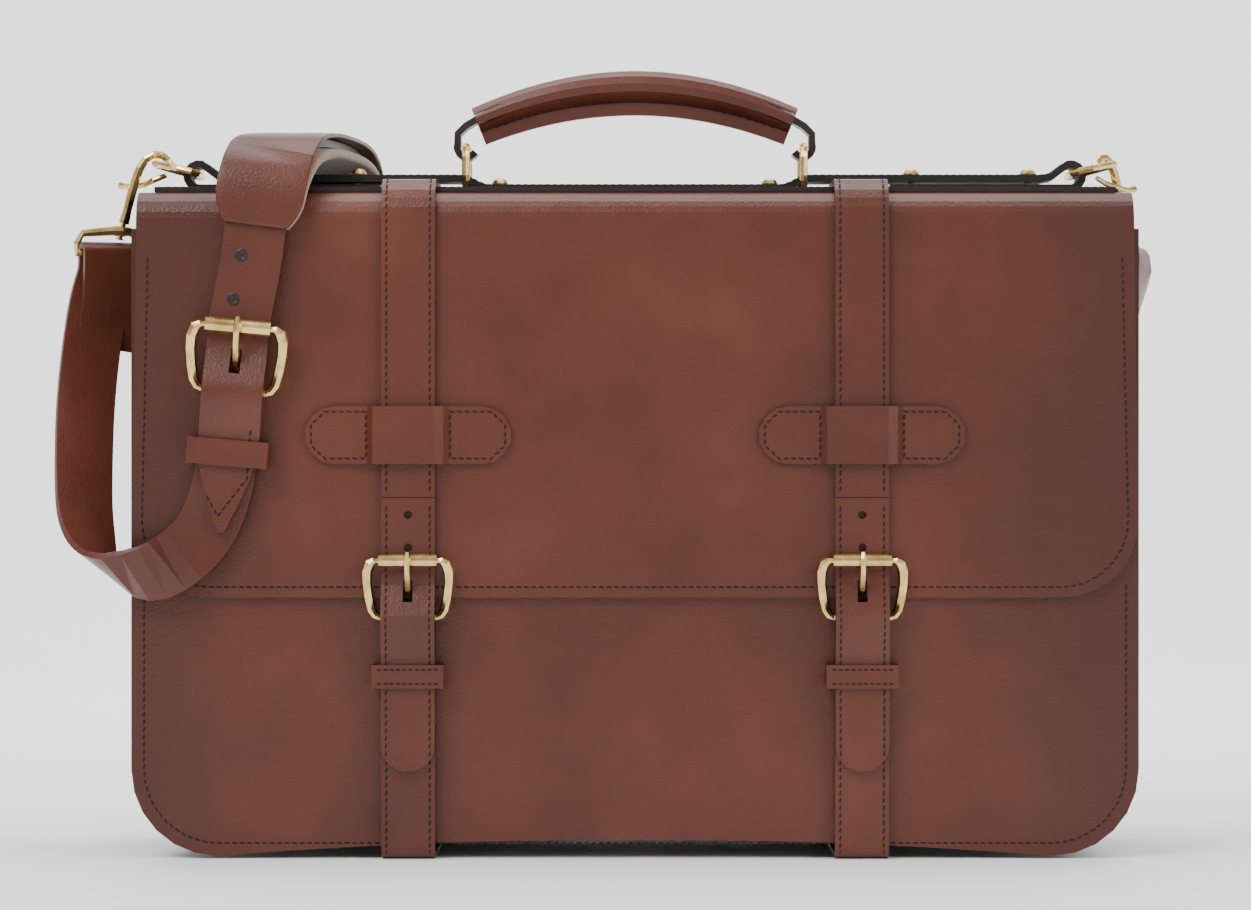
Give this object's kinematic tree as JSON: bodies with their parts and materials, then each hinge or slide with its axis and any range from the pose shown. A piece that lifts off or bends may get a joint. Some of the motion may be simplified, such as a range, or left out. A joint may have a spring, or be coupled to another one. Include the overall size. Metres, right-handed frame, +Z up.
{
  "type": "briefcase",
  "caption": "Soft leather flap-over briefcase with buckled front belts, rolled top handle, brass rings and hooks, and a buckled shoulder strap with a pad.",
  "frame": {"origin": "The centre of the base of the bounding box: the lowest face of the belts the bag stands on, at the middle of its width and depth.", "axes": "+X runs along the bag to the right as seen from the front, +Y runs from the front to the back, +Z is up; the flap's front and the buckles face -Y."},
  "size_m": [0.4854, 0.1644, 0.3429],
  "materials": {
    "leather": "satin",
    "dark_leather": "satin",
    "suede": "matte",
    "brass": "polished"
  },
  "bodies": {
    "case": {"front_panel": "leather", "back_panel": "leather", "gusset": "dark_leather", "centre_divider": "suede", "inner_pocket": "suede", "lower_belt_left": "leather", "lower_belt_right": "leather"},
    "flap_body": {"flap": "leather", "top_reinforcement": "dark_leather", "upper_belt_left": "leather", "upper_belt_right": "leather", "belt_end_left": "leather", "belt_end_right": "leather", "flap_loop_left": "leather", "flap_loop_right": "leather", "handle_base_strap": "dark_leather", "stud_1": "brass", "stud_2": "brass", "stud_3": "brass", "stud_4": "brass", "stud_5": "brass", "stud_6": "brass", "strap_short": "leather", "strap_long": "leather", "pad_cushion": "suede", "pad_cover": "leather"},
    "left_frame": {"buckle_left_frame": "brass"},
    "left_roller": {"buckle_left_roller": "brass"},
    "left_tongue": {"buckle_left_tongue": "brass"},
    "left_keeper": {"keeper_left": "leather"},
    "right_frame": {"buckle_right_frame": "brass"},
    "right_roller": {"buckle_right_roller": "brass"},
    "right_tongue": {"buckle_right_tongue": "brass"},
    "right_keeper": {"keeper_right": "leather"},
    "left_handle_ring": {"handle_ring_left": "brass"},
    "right_handle_ring": {"handle_ring_right": "brass"},
    "handle": {"handle_cover": "leather", "handle_core": "dark_leather"},
    "left_end_ring": {"end_ring_left": "brass", "swivel_loop_left": "brass"},
    "right_end_ring": {"end_ring_right": "brass", "swivel_loop_right": "brass"},
    "left_hook": {"hook_left": "brass"},
    "right_hook": {"hook_right": "brass"},
    "left_trigger": {"trigger_left": "brass"},
    "right_trigger": {"trigger_right": "brass"},
    "strap_frame": {"strap_buckle_frame": "brass"},
    "strap_roller": {"strap_buckle_roller": "brass"},
    "strap_tongue": {"strap_buckle_tongue": "brass"},
    "strap_keeper_body": {"strap_keeper": "leather"}
  },
  "joints": [
    {"name": "flap_hinge", "type": "hinge", "parent": "case", "child": "flap_body", "pos_m": [0, 0.0476, 0.2815], "axis": [-1, 0, 0], "range_deg": [0, 110], "deforming": ["belt_end_left", "belt_end_right", "strap_short", "strap_long", "pad_cushion", "pad_cover"]},
    {"name": "left_buckle_swing", "type": "hinge", "parent": "case", "child": "left_frame", "pos_m": [-0.0866, -0.0641, 0.1035], "axis": [1, 0, 0], "range_deg": [0, 45]},
    {"name": "left_tongue_swing", "type": "hinge", "parent": "left_frame", "child": "left_tongue", "pos_m": [-0.0866, -0.0641, 0.1035], "axis": [1, 0, 0], "range_deg": [0, 75]},
    {"name": "left_roller_spin", "type": "hinge", "parent": "left_frame", "child": "left_roller", "pos_m": [-0.0866, -0.0692, 0.128], "axis": [1, 0, 0], "continuous": true},
    {"name": "left_keeper_slide", "type": "slide", "parent": "case", "child": "left_keeper", "axis": [0, 0, 1], "range_m": [-0.03, 0.0015]},
    {"name": "right_buckle_swing", "type": "hinge", "parent": "case", "child": "right_frame", "pos_m": [0.1074, -0.0641, 0.1035], "axis": [1, 0, 0], "range_deg": [0, 45]},
    {"name": "right_tongue_swing", "type": "hinge", "parent": "right_frame", "child": "right_tongue", "pos_m": [0.1074, -0.0641, 0.1035], "axis": [1, 0, 0], "range_deg": [0, 75]},
    {"name": "right_roller_spin", "type": "hinge", "parent": "right_frame", "child": "right_roller", "pos_m": [0.1074, -0.0692, 0.128], "axis": [1, 0, 0], "continuous": true},
    {"name": "right_keeper_slide", "type": "slide", "parent": "case", "child": "right_keeper", "axis": [0, 0, 1], "range_m": [-0.03, 0.0015]},
    {"name": "left_handle_ring_lean", "type": "hinge", "parent": "flap_body", "child": "left_handle_ring", "pos_m": [-0.0636, -0.0049, 0.2906], "axis": [0, 1, 0], "range_deg": [-30, 30]},
    {"name": "right_handle_ring_lean", "type": "hinge", "parent": "flap_body", "child": "right_handle_ring", "pos_m": [0.0844, -0.0049, 0.2906], "axis": [0, 1, 0], "range_deg": [-30, 30]},
    {"name": "handle_swing", "type": "hinge", "parent": "left_handle_ring", "child": "handle", "pos_m": [-0.0636, -0.0049, 0.3086], "axis": [0, 1, 0], "range_deg": [-30, 30]},
    {"name": "left_end_ring_swing", "type": "hinge", "parent": "flap_body", "child": "left_end_ring", "pos_m": [-0.1817, -0.0049, 0.2965], "axis": [0, 1, 0], "range_deg": [-5, 15]},
    {"name": "right_end_ring_swing", "type": "hinge", "parent": "flap_body", "child": "right_end_ring", "pos_m": [0.2025, -0.0049, 0.2965], "axis": [0, -1, 0], "range_deg": [-2, 15]},
    {"name": "left_hook_swivel", "type": "hinge", "parent": "left_end_ring", "child": "left_hook", "pos_m": [-0.2162, -0.0049, 0.27171], "axis": [0.2496, 0, 0.9684], "range_deg": [-12, 12]},
    {"name": "right_hook_swivel", "type": "hinge", "parent": "right_end_ring", "child": "right_hook", "pos_m": [0.22931, 0.01377, 0.27083], "axis": [-0.1797, -0.1732, 0.9684], "range_deg": [-12, 12]},
    {"name": "left_trigger_press", "type": "hinge", "parent": "left_hook", "child": "left_trigger", "pos_m": [-0.2099, -0.0049, 0.29151], "axis": [0, -1, 0], "range_deg": [0, 12], "stiffness_Nm_per_rad": 0.02, "springref_deg": -5.73},
    {"name": "right_trigger_press", "type": "hinge", "parent": "right_hook", "child": "right_trigger", "pos_m": [0.22477, 0.0094, 0.29063], "axis": [-0.694, 0.72, 0], "range_deg": [0, 12], "stiffness_Nm_per_rad": 0.02, "springref_deg": -5.73},
    {"name": "strap_buckle_swing", "type": "hinge", "parent": "flap_body", "child": "strap_frame", "pos_m": [-0.1607, -0.06892, 0.2002], "axis": [0.9962, 0, -0.0872], "range_deg": [0, 45]},
    {"name": "strap_tongue_swing", "type": "hinge", "parent": "strap_frame", "child": "strap_tongue", "pos_m": [-0.1607, -0.06892, 0.2002], "axis": [0.9962, 0, -0.0872], "range_deg": [0, 75]},
    {"name": "strap_roller_spin", "type": "hinge", "parent": "strap_frame", "child": "strap_roller", "pos_m": [-0.15831, -0.07464, 0.22753], "axis": [0.9962, 0, -0.0872], "continuous": true},
    {"name": "strap_keeper_slide", "type": "slide", "parent": "flap_body", "child": "strap_keeper_body", "axis": [0.0872, 0, 0.9962], "range_m": [-0.004, 0.001]}
  ],
  "couplings": [
    {"joint": "right_handle_ring_lean", "follows": "left_handle_ring_lean", "ratio": 1},
    {"joint": "handle_swing", "follows": "left_handle_ring_lean", "ratio": -1}
  ]
}
